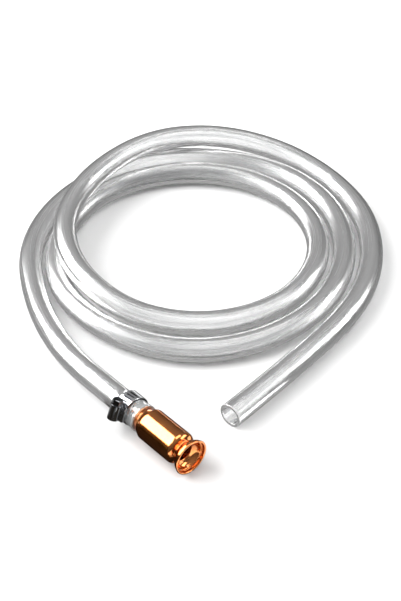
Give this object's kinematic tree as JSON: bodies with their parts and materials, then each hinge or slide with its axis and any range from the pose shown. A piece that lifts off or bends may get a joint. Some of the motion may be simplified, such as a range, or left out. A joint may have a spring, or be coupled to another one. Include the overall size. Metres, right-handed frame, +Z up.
{
  "type": "auto siphon",
  "caption": "Self-priming shaker siphon: a copper ball-valve head with a bell mouth, clamped on a loosely coiled length of clear flexible hose.",
  "frame": {"origin": "bottom centre of the valve head and clamp together, on the plane that the hose lies on", "axes": "+X along the valve head's axis, out of the bell mouth; +Z up; the hose lies in loose turns behind the head, towards -X and +Y"},
  "size_m": [0.2728, 0.2949, 0.0356],
  "materials": {
    "copper": "polished spun copper",
    "ball_glass": "clear greenish glass marble",
    "spring_steel": "drawn stainless wire",
    "band_steel": "bright rolled stainless strip",
    "housing_steel": "bright stamped stainless sheet",
    "screw_steel": "bright zinc-plated steel",
    "clear_hose": "clear flexible vinyl, glossy"
  },
  "bodies": {
    "siphon": {"valve_body": "copper", "ball_stop": "spring_steel", "clamp_band": "band_steel", "clamp_saddle": "housing_steel", "clamp_housing": "housing_steel", "hose_cuff": "clear_hose", "hose_span_1": "clear_hose", "hose_span_2": "clear_hose", "hose_span_3": "clear_hose", "hose_span_4": "clear_hose", "hose_span_5": "clear_hose", "hose_span_6": "clear_hose", "hose_free_end": "clear_hose"},
    "ball": {"valve_ball": "ball_glass"},
    "worm_screw": {"clamp_screw": "screw_steel"}
  },
  "joints": [
    {"name": "ball_travel", "type": "slide", "parent": "siphon", "child": "ball", "axis": [0.9949, 0, 0.1012], "range_m": [0, 0.02273]},
    {"name": "screw_turn", "type": "hinge", "parent": "siphon", "child": "worm_screw", "pos_m": [-0.0244, -0.00959, 0.01677], "axis": [0, 0.3746, 0.9272], "continuous": true}
  ]
}
